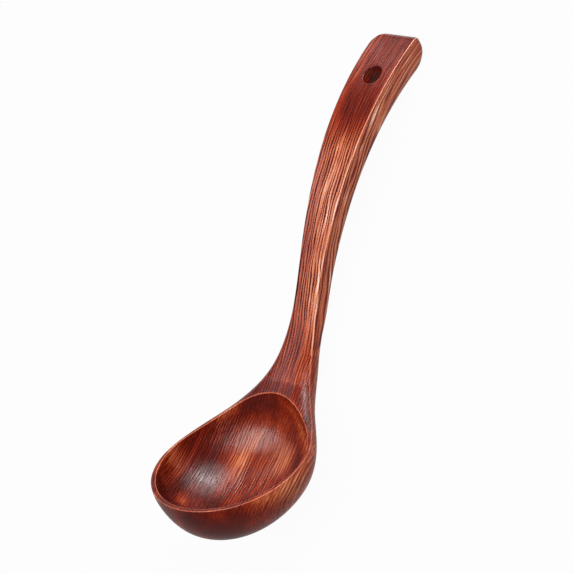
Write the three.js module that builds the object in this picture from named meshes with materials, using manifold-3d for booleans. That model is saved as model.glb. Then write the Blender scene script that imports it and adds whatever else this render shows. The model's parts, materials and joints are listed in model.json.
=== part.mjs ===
// A wooden soup ladle, in millimetres, +Z up, lying on a table as it comes to rest:
// on a small flat under the bowl and on the underside of the handle's end.
// The ladle is drawn first with its rim level, +X from the bowl towards the handle,
// x = 0 where the bowl is widest and z = 0 on the rim. At the end it is tipped back to lie down.
// Bowl and handle are two boards, butted at the neck on two blind dowels and carved as one.

import * as THREE from "three";
import { mergeVertices } from "three/addons/utils/BufferGeometryUtils.js";
import Module from "manifold-3d";

const wasm = await Module();
wasm.setup();

// Bowl
const bowlHalfWidth = 40.5; // of the wall, before its rim is drawn in
const lipReach = 36.7; // from the widest place to the front lip
const bowlDepth = 30.8; // outside, below the rim
const keelFullness = 2.6; // 2 is an ellipse, more is squarer
const rimDrawIn = 1; // the rim stands in from the widest part of the wall below it
const bellyDepth = 7.3; // from the rim down to that widest part
const bellyUntil = 48; // from here the wall fades into the neck
const sideWall = 1.3; // rim width at the sides
const lipWall = 2.1; // rim width at the front lip
const floorWall = 4.2; // under the deepest place of the hollow
const hollowBack = 41.3; // from the widest place to the hollow's edge at the neck
const hollowEgg = 1.8; // plan of the hollow towards the neck, 2 is a circle
const hollowFullness = 2.2;

// Side view of the upper face: rim, rising neck and bent handle
const riseStart = 10.7; // where the rim begins to climb
const risePull = 27.5;
const kneeX = 76.9; // the steepest place of the neck
const kneeZ = 35.6;
const kneeSlope = THREE.MathUtils.degToRad(52.3);
const kneePullDown = 30.6;
const kneePullUp = 35.6;
const endX = 191.1; // the handle's end
const endZ = 114.8;
const endSlope = THREE.MathUtils.degToRad(10.4);
const endPull = 59.3;

// Plan view: bowl, waist and widening handle
const shoulderPull = 35;
const flarePull = 44.2;
const waistX = 83;
const waistHalfWidth = 7.1;
const waistPull = 11.7;
const gripPull = 62;
const gripHalfWidth = 12.6;
const endHalfWidth = 12.6;

// Thickness below the upper face, along the upper face from the bowl's widest place
const keelPull = 27.2;
const throatPull = 8.6;
const throatAt = 78.5;
const throatThickness = 10.2;
const endThickness = 15.9;
const thickening = 1.45; // more keeps the handle thin for longer

// Cross-section: how square the underside is, 2 is an ellipse
const bowlSquareness = 2.05;
const handleSquareness = 5.7;
const squareFrom = 68; // along the upper face from the bowl's widest place
const squareTo = 100;

// The upper face of the neck is arched across
const crownHeight = 4.2;
const crownStart = 14;
const crownEnd = 95;
const crownFullness = 5; // 2 is a plain arch, more is flatter in the middle

// Edges and the handle's end
const rimEase = 0.4;
const handleEase = 0.8;
const easeShare = 0.3; // most of a thin edge that the easing may take
const endRoundFront = 4.2;
const endLand = 0.4; // flat left between the two roundings of the end
const endRoundBack = endThickness - endRoundFront - endLand;
const endCornerLeft = 10; // seen from above, cut rounder than the right one
const endCornerRight = 3;

// Hanging hole
const holeDiameter = 10;
const holeFromEnd = 27; // along the upper face
const holeOffCentre = -1.2; // drilled by hand, a little to the right
const holeEase = 0.5;

// Joint of the two boards
const jointAt = 66; // along the upper face from the bowl's widest place
const glueGap = 0.3;
const dowelDiameter = 4;
const dowelLength = 22;
const dowelWeb = 1.8; // wood left between the dowels
const dowelDepth = 5.5; // below the upper face
const dowelFit = 0.2; // around the dowel
const dowelChamfer = 0.5;

// Where the bowl bears on the table
const restFlatDepth = 0.6;

const lacquer = { roughness: 0.32, metalness: 0 };
const bowlWood = new THREE.MeshStandardMaterial({ color: 0x8a3a22, ...lacquer });
const handleWood = new THREE.MeshStandardMaterial({ color: 0x93432a, ...lacquer });
const dowelWood = new THREE.MeshStandardMaterial({ color: 0xc9a676, roughness: 0.75, metalness: 0 });

const smoothstep = THREE.MathUtils.smoothstep;
const clamp = THREE.MathUtils.clamp;
const v2 = (x, y) => new THREE.Vector2(x, y);
const heading = (angle, length) => v2(Math.cos(angle), Math.sin(angle)).multiplyScalar(length);

// The upper face seen from the side, by distance along it.
const knee = v2(kneeX, kneeZ);
const handleEnd = v2(endX, endZ);
const upperFace = new THREE.CurvePath();
upperFace.add(new THREE.LineCurve(v2(-lipReach, 0), v2(riseStart, 0)));
upperFace.add(
  new THREE.CubicBezierCurve(
    v2(riseStart, 0),
    v2(riseStart + risePull, 0),
    knee.clone().sub(heading(kneeSlope, kneePullDown)),
    knee,
  ),
);
upperFace.add(
  new THREE.CubicBezierCurve(
    knee,
    knee.clone().add(heading(kneeSlope, kneePullUp)),
    handleEnd.clone().sub(heading(endSlope, endPull)),
    handleEnd,
  ),
);
upperFace.curves.forEach((curve) => (curve.arcLengthDivisions = 400));
const reach = upperFace.getLength() - lipReach;

// Height of a curve that climbs steadily in x, found by halving.
function heightAt(curve, x) {
  let low = 0;
  let high = 1;
  for (let i = 0; i < 40; i++) {
    const middle = (low + high) / 2;
    if (curve.getPoint(middle).x < x) low = middle;
    else high = middle;
  }
  return curve.getPoint(low).y;
}

// Half the width, seen from above.
const shoulder = new THREE.CubicBezierCurve(
  v2(0, bowlHalfWidth),
  v2(shoulderPull, bowlHalfWidth),
  v2(waistX - flarePull, waistHalfWidth),
  v2(waistX, waistHalfWidth),
);
const grip = new THREE.CubicBezierCurve(
  v2(waistX, waistHalfWidth),
  v2(waistX + waistPull, waistHalfWidth),
  v2(endX - gripPull, gripHalfWidth),
  v2(endX, endHalfWidth),
);

function halfWidth(x) {
  if (x < 0) return bowlHalfWidth * Math.sqrt(Math.max(1 - (x / lipReach) ** 2, 0));
  return heightAt(x < waistX ? shoulder : grip, x);
}

// Thickness below the upper face.
const keel = new THREE.CubicBezierCurve(
  v2(0, bowlDepth),
  v2(keelPull, bowlDepth),
  v2(throatAt - throatPull, throatThickness),
  v2(throatAt, throatThickness),
);

function thickness(along) {
  if (along < 0) {
    const left = 1 - (-along / lipReach) ** keelFullness;
    return bowlDepth * Math.max(left, 0) ** (1 / keelFullness);
  }
  if (along < throatAt) return heightAt(keel, along);
  const share = (along - throatAt) / (reach - throatAt);
  return throatThickness + (endThickness - throatThickness) * share ** thickening;
}

// How far the rim stands in, as a share of the half width: the same for every place of the front lip,
// fading into the neck.
function pinch(along, half) {
  const widest = along < 0 ? bowlHalfWidth : half;
  return (rimDrawIn * (1 - smoothstep(along, bellyUntil, throatAt))) / widest;
}

function squareness(along) {
  const share = smoothstep(along, squareFrom, squareTo);
  return THREE.MathUtils.lerp(bowlSquareness, handleSquareness, share);
}

const crown = (x) =>
  crownHeight * smoothstep(x, crownStart, hollowBack) * (1 - smoothstep(x, hollowBack, crownEnd));

// How far a quarter round of the given radius has fallen at this place near the handle's end.
function roundedOff(along, radius) {
  const into = clamp((along - (reach - radius)) / radius, 0, 1);
  return radius * (1 - Math.sqrt(1 - into * into));
}

// A station on the upper face. Sections stay upright through the hollow, then lean with the neck.
function station(along) {
  const u = clamp((along + lipReach) / (reach + lipReach), 0, 1);
  const point = upperFace.getPointAt(u);
  const tangent = upperFace.getTangentAt(u);
  const slope = Math.atan2(tangent.y, tangent.x);
  const lean = slope * smoothstep(point.x, hollowBack, kneeX);
  return { x: point.x, z: point.y, slope, lean };
}

// A point of a section, y across and depth below the upper face.
function placed(at, y, depth) {
  const x = at.x + Math.sin(at.lean) * depth;
  const z = at.z - Math.cos(at.lean) * depth;
  return new THREE.Vector3(x, y, z);
}

// How finely the curves are divided.
const topSteps = 10;
const easeSteps = 3;
const underSteps = 24;
const holeSides = 40;
const dowelSides = 24;

// One closed section: arched top, eased arrises, and a rounded underside that bellies out below the rim.
function section(along) {
  const at = station(along);
  const front = roundedOff(along, endRoundFront);
  const thick = thickness(along) - front - roundedOff(along, endRoundBack);
  const whole = halfWidth(at.x);
  const half = (side) => whole - roundedOff(along, side > 0 ? endCornerLeft : endCornerRight);
  const drawn = pinch(along, whole);
  const edge = THREE.MathUtils.lerp(rimEase, handleEase, smoothstep(along, bellyUntil, throatAt));
  const ease = Math.min(edge, easeShare * half(1), easeShare * half(-1), easeShare * thick);
  const inner = (side) => half(side) * (1 - drawn) - ease;
  const arch = crown(at.x);
  const power = 2 / squareness(along);
  const ring = [];
  for (let i = 0; i <= topSteps; i++) {
    const share = (2 * i) / topSteps - 1;
    ring.push(placed(at, inner(share) * share, front - arch * (1 - Math.abs(share) ** crownFullness)));
  }
  const corner = (angle, side) => {
    const y = inner(side) + ease * Math.sin(angle);
    ring.push(placed(at, side * y, front + ease - ease * Math.cos(angle)));
  };
  const quarter = Math.PI / 2;
  for (let i = 1; i < easeSteps; i++) corner((quarter * i) / easeSteps, 1);
  for (let i = 0; i <= underSteps; i++) {
    const angle = (Math.PI * i) / underSteps;
    const across = Math.cos(angle);
    const fall = (thick - ease) * Math.sin(angle) ** power;
    const belly = 1 - drawn * Math.max(1 - fall / bellyDepth, 0) ** 2;
    const y = half(across) * belly * Math.sign(across) * Math.abs(across) ** power;
    ring.push(placed(at, y, front + ease + fall));
  }
  for (let i = easeSteps - 1; i > 0; i--) corner((quarter * i) / easeSteps, -1);
  return ring.reverse();
}

// A closed skin over rings of equal length, each counted anticlockwise as seen from the last one,
// with a fan on each end.
function loft(rings, first, last) {
  const count = rings[0].length;
  const middle = (ring) =>
    ring.reduce((sum, p) => sum.add(p), new THREE.Vector3()).divideScalar(ring.length);
  const points = [...rings.flat(), first ?? middle(rings[0]), last ?? middle(rings.at(-1))];
  const faces = [];
  for (let j = 0; j < count; j++) {
    const next = (j + 1) % count;
    const end = (rings.length - 1) * count;
    for (let i = 0; i < rings.length - 1; i++) {
      const a = i * count;
      const b = a + count;
      faces.push(a + j, a + next, b + next, a + j, b + next, b + j);
    }
    faces.push(points.length - 2, next, j);
    faces.push(points.length - 1, end + j, end + next);
  }
  return new THREE.BufferGeometry().setFromPoints(points).setIndex(faces);
}

function solid(geometry) {
  const bare = new THREE.BufferGeometry();
  bare.setAttribute("position", geometry.getAttribute("position"));
  bare.setIndex(geometry.getIndex());
  const merged = mergeVertices(bare, 1e-4);
  return new wasm.Manifold(
    new wasm.Mesh({
      numProp: 3,
      vertProperties: new Float32Array(merged.attributes.position.array),
      triVerts: new Uint32Array(merged.index.array),
    }),
  );
}

function mesh(name, body, material) {
  const made = body.getMesh();
  const geometry = new THREE.BufferGeometry();
  geometry.setAttribute("position", new THREE.BufferAttribute(made.vertProperties, 3));
  geometry.setIndex(new THREE.BufferAttribute(made.triVerts, 1));
  geometry.computeVertexNormals();
  const piece = new THREE.Mesh(geometry, material);
  piece.name = name;
  return piece;
}

// The whole carved outside, from the front lip to the handle's end.
const stations = [];
const lipSteps = 12;
const bowlSteps = 18;
const handleSteps = 44;
const endSteps = 8;
for (let i = 1; i <= lipSteps; i++) {
  stations.push(-lipReach * Math.cos((Math.PI / 2) * (i / lipSteps)));
}
for (let i = 1; i <= bowlSteps; i++) stations.push((jointAt * i) / bowlSteps);
const straightEnd = reach - endRoundBack;
for (let i = 1; i <= handleSteps; i++) {
  stations.push(THREE.MathUtils.lerp(jointAt, straightEnd, i / handleSteps));
}
for (let i = 1; i <= endSteps; i++) {
  stations.push(straightEnd + endRoundBack * Math.sin((Math.PI / 2) * (i / endSteps)));
}
const carved = solid(loft(stations.map(section), new THREE.Vector3(-lipReach, 0, 0)));

// The hollow: one egg-shaped plan, drawn in towards the floor and straight above the rim.
const hollowHalfLength = (hollowBack + lipReach - lipWall) / 2;
const hollowMiddle = hollowBack - hollowHalfLength;
const hollowHalfWidth = bowlHalfWidth - rimDrawIn - sideWall;
const hollowDepth = bowlDepth - floorWall;
const hollowSides = 72;

function hollowRing(share, z) {
  return Array.from({ length: hollowSides }, (_, i) => {
    const angle = (2 * Math.PI * i) / hollowSides;
    const along = Math.cos(angle);
    const across = Math.sin(angle);
    const egg = along > 0 ? hollowEgg : 2;
    const radius = share * (Math.abs(along) ** egg + Math.abs(across) ** egg) ** (-1 / egg);
    const x = hollowMiddle + hollowHalfLength * radius * along;
    return new THREE.Vector3(x, hollowHalfWidth * radius * across, z);
  });
}

const hollowRings = [hollowRing(1, endZ), hollowRing(1, 0)];
const hollowSteps = 14;
for (let i = 1; i < hollowSteps; i++) {
  const angle = ((Math.PI / 2) * i) / hollowSteps;
  const share = Math.cos(angle) ** (2 / hollowFullness);
  hollowRings.push(hollowRing(share, -hollowDepth * Math.sin(angle) ** (2 / hollowFullness)));
}
hollowRings.reverse();
const hollow = solid(loft(hollowRings, new THREE.Vector3(hollowMiddle, 0, -hollowDepth)));

// Turns a shape made along +Y to lie along a slope in the side view, centred on a point.
function laid(geometry, centre, slope) {
  const turn = new THREE.Matrix4().makeBasis(
    new THREE.Vector3(0, 1, 0),
    new THREE.Vector3(Math.cos(slope), 0, Math.sin(slope)),
    new THREE.Vector3(Math.sin(slope), 0, -Math.cos(slope)),
  );
  return geometry.applyMatrix4(turn.setPosition(centre));
}

// The hanging hole, square to the handle's face, eased at both mouths.
const holeAt = reach - holeFromEnd;
const holeStation = station(holeAt);
const holeReach = thickness(holeAt) / 2;
const holeRadius = holeDiameter / 2;
const holeProfile = [
  v2(0, -holeReach - holeRadius),
  v2(holeRadius + holeEase + holeRadius, -holeReach - holeRadius),
  v2(holeRadius, -holeReach + holeEase),
  v2(holeRadius, holeReach - holeEase),
  v2(holeRadius + holeEase + holeRadius, holeReach + holeRadius),
  v2(0, holeReach + holeRadius),
];
const hole = solid(
  laid(
    new THREE.LatheGeometry(holeProfile, holeSides),
    placed(holeStation, holeOffCentre, holeReach),
    holeStation.slope + Math.PI / 2,
  ),
);

// The joint: a plane square to the neck, with room for glue, and two dowels across it.
const joint = station(jointAt);
const jointDirection = new THREE.Vector3(Math.cos(joint.slope), 0, Math.sin(joint.slope));
const jointPoint = new THREE.Vector3(joint.x, 0, joint.z);
const blockSize = 2 * (reach + lipReach);

// Everything on one side of the joint: 1 is the handle's side, -1 the bowl's.
function beyondJoint(side) {
  const centre = jointPoint.clone();
  centre.addScaledVector(jointDirection, (side * (blockSize - glueGap)) / 2);
  return solid(laid(new THREE.BoxGeometry(blockSize, blockSize, blockSize), centre, joint.slope));
}

function dowelShape(radius, length, chamfer) {
  const profile = [
    v2(0, -length / 2),
    v2(radius - chamfer, -length / 2),
    v2(radius, -length / 2 + chamfer),
    v2(radius, length / 2 - chamfer),
    v2(radius - chamfer, length / 2),
    v2(0, length / 2),
  ];
  return new THREE.LatheGeometry(profile, dowelSides);
}

const dowelRadius = dowelDiameter / 2;
const dowelNames = ["neck_dowel_left", "neck_dowel_right"];
const dowelCentres = [1, -1].map((side) => {
  const down = new THREE.Vector3(Math.sin(joint.slope), 0, -Math.cos(joint.slope));
  const centre = jointPoint.clone().addScaledVector(down, dowelDepth);
  return centre.setY(side * (dowelRadius + dowelWeb / 2));
});
const dowels = dowelCentres.map((centre) =>
  solid(laid(dowelShape(dowelRadius, dowelLength, dowelChamfer), centre, joint.slope)),
);
const sockets = dowelCentres
  .map((centre) => {
    const length = dowelLength + 2 * glueGap;
    return solid(laid(dowelShape(dowelRadius + dowelFit, length, dowelChamfer), centre, joint.slope));
  })
  .reduce((both, socket) => both.add(socket));

// Lying down: the angle at which the handle's end and the bowl's flat reach the table together.
const underside = stations.map((place) => {
  const at = station(place);
  const depth = thickness(place) - roundedOff(place, endRoundBack);
  return { place, point: placed(at, 0, depth) };
});
const lowest = (angle, chosen) =>
  Math.min(...chosen.map(({ point: p }) => p.z * Math.cos(angle) - p.x * Math.sin(angle)));
const underBowl = underside.filter(({ place }) => place < jointAt);
const underHandle = underside.filter(({ place }) => place >= jointAt);
let restAngle = 0;
for (let step = Math.PI / 4; step > 1e-9; step /= 2) {
  const next = restAngle + step;
  if (lowest(next, underBowl) + restFlatDepth < lowest(next, underHandle)) restAngle = next;
}
const table = lowest(restAngle, underHandle);
const floorBlock = new THREE.BoxGeometry(blockSize, blockSize, blockSize);
floorBlock.translate(0, 0, table - blockSize / 2).rotateY(-restAngle);

const bowl = carved.subtract(hollow).subtract(beyondJoint(1)).subtract(sockets);
const handle = carved.subtract(beyondJoint(-1)).subtract(sockets).subtract(hole);

const ladle = new THREE.Group();
ladle.name = "ladle";
ladle.add(mesh("bowl", bowl.subtract(solid(floorBlock)), bowlWood));
ladle.add(mesh("handle", handle, handleWood));
dowels.forEach((body, i) => ladle.add(mesh(dowelNames[i], body, dowelWood)));
ladle.rotation.y = restAngle;

// The origin is on the table, midway along the ladle.
const part = new THREE.Group();
part.add(ladle);
part.updateMatrixWorld(true);
const box = new THREE.Box3().setFromObject(part, true);
ladle.position.set(-(box.min.x + box.max.x) / 2, 0, -table);

export default part;
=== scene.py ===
# %% [markdown]
# # A wooden soup ladle
# A deep round bowl runs through a slim neck into a bent handle, and the handle ends in a rounded
# tip with a hanging hole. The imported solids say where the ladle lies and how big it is. Their
# facets could be shaded smooth, but a gloss still shows them. So the two boards get new skins,
# worked out from the same few sizes, with carved edges and lacquered, straight-grained wood.

# %% Load the frame
import json

import bmesh
import bpy
import numpy as np
from mathutils import Matrix, Vector


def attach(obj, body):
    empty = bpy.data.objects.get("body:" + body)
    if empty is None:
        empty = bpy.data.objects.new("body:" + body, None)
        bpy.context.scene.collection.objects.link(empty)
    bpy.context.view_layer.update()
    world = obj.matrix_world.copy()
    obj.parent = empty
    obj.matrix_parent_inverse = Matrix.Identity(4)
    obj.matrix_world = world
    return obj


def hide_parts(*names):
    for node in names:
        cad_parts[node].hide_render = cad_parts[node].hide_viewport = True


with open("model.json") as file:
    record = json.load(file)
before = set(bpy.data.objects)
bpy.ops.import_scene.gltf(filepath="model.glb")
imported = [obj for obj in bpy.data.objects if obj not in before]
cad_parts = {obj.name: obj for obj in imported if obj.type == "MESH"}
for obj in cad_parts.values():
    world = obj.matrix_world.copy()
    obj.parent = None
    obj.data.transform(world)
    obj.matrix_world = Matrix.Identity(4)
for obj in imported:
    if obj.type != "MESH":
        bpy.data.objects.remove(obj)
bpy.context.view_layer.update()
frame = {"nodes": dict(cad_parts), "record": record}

scene = bpy.context.scene
print("CAD nodes:", sorted(frame["nodes"]))

# %% [markdown]
# ## The line that everything follows
# The ladle is drawn as it was carved, with its rim level: +X from the bowl towards the handle,
# x = 0 where the bowl is widest and z = 0 on the rim. Tipping it only at the end keeps every formula
# short. Seen from the side, the upper face is one line: the level rim, the climb of the neck and
# the bent handle. It could be a list of many points, but two Bezier curves need only a few sizes
# and bend evenly.

# %% Curves
mm = 0.001
curve_points = 8001


def heading(angle):
    """Unit vector at this angle, or one for each of many angles."""
    return np.stack([np.cos(angle), np.sin(angle)], axis=-1)


def bezier(start, slope, pull, stop, stop_slope, stop_pull):
    """Cubic curve from start to stop, held to a slope at each end by a pull.

    The ends a and d and their pulled points b and c are weighted by (1-t)^3, 3t(1-t)^2, 3t^2(1-t)
    and t^3.
    """
    t = np.linspace(0, 1, curve_points)[:, None]
    a, d = np.array([start, stop], float)
    b = a + pull * heading(slope)
    c = d - stop_pull * heading(stop_slope)
    return (1 - t) ** 3 * a + 3 * t * (1 - t) ** 2 * b + 3 * t**2 * (1 - t) * c + t**3 * d


def walked(line):
    """Distance walked from the line's start to each of its points, and the slope there."""
    along = np.concatenate([[0], np.cumsum(np.hypot(*np.diff(line, axis=0).T))])
    slope = np.arctan2(np.gradient(line[:, 1]), np.gradient(line[:, 0]))
    return along, slope


def smoothstep(value, low, high):
    """0 below low, 1 above high, and 3u^2 - 2u^3 between them."""
    u = np.clip((value - low) / (high - low), 0, 1)
    return u * u * (3 - 2 * u)


print("each curve has", curve_points, "points")

# %% Upper face
lip_reach = 36.7 * mm
rise_start = 10.7 * mm
rise_pull = 27.5 * mm
knee = np.array([76.9, 35.6]) * mm
knee_slope = np.radians(52.3)
knee_pull_down = 30.6 * mm
knee_pull_up = 35.6 * mm
handle_end = np.array([191.1, 114.8]) * mm
end_slope = np.radians(10.4)
end_pull = 59.3 * mm

rise = bezier((rise_start, 0), 0, rise_pull, knee, knee_slope, knee_pull_down)
bend = bezier(knee, knee_slope, knee_pull_up, handle_end, end_slope, end_pull)
face_line = np.vstack([[(-lip_reach, 0)], rise, bend[1:]])
face_along, face_slope = walked(face_line)
face_along = face_along - lip_reach
face_slope[:2] = 0
reach = face_along[-1]


def face_x(along):
    """x of the place at this distance along the upper face."""
    return np.interp(along, face_along, face_line[:, 0])


def along_at(x):
    """Distance along the upper face of the place at this x."""
    return np.interp(x, face_line[:, 0], face_along)


print(f"upper face: {1000 * (reach + lip_reach):.1f} mm long")

# %% [markdown]
# ## Thicknesses and widths
# Seen from the side, the keel sweeps up from the bowl to the throat, and the handle thickens slowly
# to its rounded end. Seen from above, the sides sweep in to a narrow waist and widen again.
# Modifiers could squeeze a block into this, but functions of the distance along the upper face give
# the sizes at any place, and every grid below asks for them.

# %% Thickness and the rounded end
end_thickness = 15.9 * mm
end_round_front = 4.2 * mm
end_land = 0.4 * mm
end_round_back = end_thickness - end_round_front - end_land


def rounded_off(along, radius):
    """Fall of a quarter round near the handle's end: r - sqrt(r^2 - d^2), d past its start."""
    into = np.clip((along - (reach - radius)) / radius, 0, 1)
    return radius * (1 - np.sqrt(1 - into**2))


def front_fall(along):
    """How far the upper face has rounded down towards the end."""
    return rounded_off(along, end_round_front)


bowl_depth = 30.8 * mm
keel_pull = 27.2 * mm
throat_at = 78.5 * mm
throat_pull = 8.6 * mm
throat_thickness = 10.2 * mm
thickening = 1.45

throat = (throat_at, throat_thickness)
keel = bezier((0, bowl_depth), 0, keel_pull, throat, 0, throat_pull)


def thickness(along):
    """Keel curve up to the throat, then a slow growth by a power, less both roundings."""
    share = np.clip((along - throat_at) / (reach - throat_at), 0, 1)
    past = throat_thickness + (end_thickness - throat_thickness) * share**thickening
    whole = np.where(along < throat_at, np.interp(along, *keel.T), past)
    return whole - front_fall(along) - rounded_off(along, end_round_back)


print(f"thickness at the throat: {1000 * float(thickness(throat_at)):.1f} mm")

# %% Width
bowl_half_width = 40.5 * mm
shoulder_pull = 35 * mm
flare_pull = 44.2 * mm
waist_x = 83 * mm
waist_half_width = 7.1 * mm
waist_pull = 11.7 * mm
grip_pull = 62 * mm
grip_half_width = 12.6 * mm
end_corner_left = 10 * mm
end_corner_right = 3 * mm

waist = (waist_x, waist_half_width)
shoulder = bezier((0, bowl_half_width), 0, shoulder_pull, waist, 0, flare_pull)
grip = bezier(waist, 0, waist_pull, (handle_end[0], grip_half_width), 0, grip_pull)
plan_line = np.vstack([shoulder, grip[1:]])


def plan_half(along):
    """Half the plan width behind the bowl's widest place."""
    return np.interp(face_x(along), *plan_line.T)


def half_width(along, side):
    """The same on one side, less the rounded corner that the end has there."""
    corner = np.where(side > 0, end_corner_left, end_corner_right)
    return plan_half(along) - rounded_off(along, corner)


print(f"narrowest: {2000 * waist_half_width:.1f} mm across")

# %% Rim and belly
rim_draw_in = 1 * mm
belly_depth = 7.3 * mm
belly_until = 48 * mm


def pinch(along):
    """How far the rim stands in from the wall below it, as a share of the half width."""
    return rim_draw_in * (1 - smoothstep(along, belly_until, throat_at)) / plan_half(along)


def belly(share, depth):
    """What the wall keeps of its width at this depth: 1 - share (1 - depth / belly depth)^2."""
    return 1 - share * np.maximum(1 - depth / belly_depth, 0) ** 2


def rim_half(along, side):
    """Half the width of the upper face."""
    return half_width(along, side) * (1 - pinch(along))


print(f"rim: {2000 * float(rim_half(0.0, 1)):.1f} mm across")

# %% Arch, squareness and place
bowl_squareness = 2.05
handle_squareness = 5.7
square_from = 68 * mm
square_to = 100 * mm
hollow_back = 41.3 * mm
crown_height = 4.2 * mm
crown_start = 14 * mm
crown_end = 95 * mm


def squareness(along):
    """Power of the section's outline: 2 is an ellipse, more is squarer."""
    share = smoothstep(along, square_from, square_to)
    return bowl_squareness + (handle_squareness - bowl_squareness) * share


def crown(along):
    """Height of the arch across the neck's upper face: it grows to the hollow's back and falls."""
    x = face_x(along)
    falling = 1 - smoothstep(x, hollow_back, crown_end)
    return crown_height * smoothstep(x, crown_start, hollow_back) * falling


def placed(along, y, depth):
    """Point at y across and depth below the upper face, square to it once past the hollow."""
    x = face_x(along)
    z = np.interp(along, face_along, face_line[:, 1])
    lean = np.interp(along, face_along, face_slope) * smoothstep(x, hollow_back, knee[0])
    return np.stack([x + np.sin(lean) * depth, y + 0 * x, z - np.cos(lean) * depth], axis=-1)


print(f"arch of the neck: {1000 * crown_height:.1f} mm")

# %% [markdown]
# ## Lying down
# The ladle rests on its bowl and on the handle's end, so its drawing has to be tipped. The tip could
# be found by dropping the shape, but the record says where the hanging hole is and how it points,
# and the turn and the shift follow from that.

# %% From the drawing to the table
hole_from_end = 27 * mm
hole_off_centre = -1.2 * mm

hole_at = reach - hole_from_end
hole_slope = np.interp(hole_at, face_along, face_slope)
hole_centre = placed(hole_at, hole_off_centre, float(thickness(hole_at)) / 2)
hole_mount = next(m for m in frame["record"]["mounts"] if m["name"] == "hanging_hole")
tip = np.arctan2(hole_mount["axis"][0], hole_mount["axis"][2]) + hole_slope
lie = np.array([[np.cos(tip), 0, np.sin(tip)], [0, 1, 0], [-np.sin(tip), 0, np.cos(tip)]])
lie_shift = np.array(hole_mount["pos_m"]) - lie @ hole_centre


def laid_down(points):
    """Points of the drawing, tipped to lie on the table and cut flat where they touch it."""
    lying = points @ lie.T + lie_shift
    lying[..., 2] = np.maximum(lying[..., 2], 0)
    return lying


print(f"tipped by {np.degrees(tip):.2f} degrees")

# %% [markdown]
# ## The skin as functions
# Across any place, the outline has an arched or flat top, two eased corners (a carver calls such a
# corner an arris) and a rounded underside. A Bevel modifier could ease the corners. Here each part
# is a function of the place along the ladle and one number across it, so the ease can change on the
# way and whole grids come from one call.

# %% Top and underside
crown_fullness = 5


def top_at(along, y):
    """Point of the upper face: it falls from the crown by a power of the share across."""
    share = np.abs(y) / rim_half(along, y)
    return placed(along, y, front_fall(along) - crown(along) * (1 - share**crown_fullness))


def under_at(along, y):
    """Point of the underside: (y / half)^p + (depth / thick)^p = 1."""
    power = squareness(along)
    share = np.clip(np.abs(y) / half_width(along, y), 0, 1)
    depth = thickness(along) * (1 - share**power) ** (1 / power)
    return placed(along, y, front_fall(along) + depth)


def side_at(along, angle):
    """The same outline, bellied, by the angle it is seen at: 0 and pi are the two arrises."""
    power = squareness(along)
    across = np.cos(angle)
    radius = (np.abs(across) ** power + np.abs(np.sin(angle)) ** power) ** (-1 / power)
    depth = thickness(along) * radius * np.sin(angle)
    y = half_width(along, across) * radius * across * belly(pinch(along), depth)
    return placed(along, y, front_fall(along) + depth)


print("keel of the bowl:", side_at(0.0, np.pi / 2).round(4))

# %% Eased arrises
rim_ease = 0.4 * mm
handle_ease = 0.8 * mm
thin_wood_share = 0.3
growth_step = 0.05 * mm


def easing(along):
    """Size of the arris: fine on the rim, wider on the handle, small where the wood is thin."""
    edge = rim_ease + (handle_ease - rim_ease) * smoothstep(along, belly_until, throat_at)
    least = np.minimum(half_width(along, 1), half_width(along, -1))
    return np.minimum(edge, thin_wood_share * np.minimum(least, thickness(along)))


def inner_half(along, side):
    """Half the width between the arrises: rim half - easing x sqrt(1 + growth^2)."""
    growth = rim_half(along + growth_step, side) - rim_half(along - growth_step, side)
    growth = growth / (2 * growth_step)
    return rim_half(along, side) - easing(along) * np.sqrt(1 + np.minimum(growth**2, 1))


print(f"arris on the rim: {1000 * float(easing(0.0)):.1f} mm")

# %% Bands round a section
ease_points = 7
under_points = 97
across_points = 51
ease_shares = np.linspace(0, 1, ease_points)
face_shares = np.linspace(-1, 1, across_points)
ease_rows = ease_shares[:, None, None]


def leaning(start, corner, stop, t):
    """Quadratic curve that leans on a corner: the points weighted by (1-t)^2, 2t(1-t) and t^2."""
    return (1 - t) ** 2 * start + 2 * t * (1 - t) * corner + t**2 * stop


def top_columns(along):
    """The upper face from its -Y arris to its +Y arris."""
    return top_at(along, face_shares * inner_half(along, face_shares))


def under_columns(along):
    """The underside from its +Y arris to its -Y arris, starting just below the easing."""
    first = np.arctan2(easing(along), thickness(along))
    return side_at(along, first + np.linspace(0, 1, under_points) * (np.pi - 2 * first))


def arris_columns(along, side):
    """One eased arris. The +Y one runs down from the upper face, the -Y one up to it."""
    first = np.arctan2(easing(along), thickness(along))
    start = top_at(along, side * inner_half(along, side))
    corner = placed(along, side * rim_half(along, side), front_fall(along))
    stop = side_at(along, first if side > 0 else np.pi - first)
    return leaning(start, corner, stop, ease_shares[::side, None])


print("points round a section:", across_points + under_points + 2 * ease_points)

# %% [markdown]
# ## The joint of the two boards
# Bowl and handle are glued end to end on a plane square to the neck. A Boolean could cut one skin
# there, but its ragged row of faces would show in the gloss. Instead each column walks to its own
# place on the plane. Rows near the joint bend to follow, and both skins share the last row, so no
# seam shows.

# %% Where each column meets the joint
joint_at = 66 * mm
walks = 60
walk_share = 0.7

joint_point = placed(joint_at, 0.0, 0.0)
joint_slope = np.interp(joint_at, face_along, face_slope)
joint_heading = np.array([np.cos(joint_slope), 0, np.sin(joint_slope)])
bands = {
    "top": (top_columns, across_points),
    "left": (lambda along: arris_columns(along, 1), ease_points),
    "under": (under_columns, under_points),
    "right": (lambda along: arris_columns(along, -1), ease_points),
}


def meets_joint(columns, count):
    """How much further along than the joint's own place each column meets its plane."""
    along = np.full(count, joint_at)
    for _ in range(walks):
        along = along - walk_share * (columns(along) - joint_point) @ joint_heading
    return along - joint_at


joint_offsets = {name: meets_joint(*band) for name, band in bands.items()}


def band_grid(name, rows, bending):
    """Points of one band, each row bent by its share of the joint's offsets."""
    columns, _ = bands[name]
    return columns(rows[:, None] + bending[:, None] * joint_offsets[name])


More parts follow.
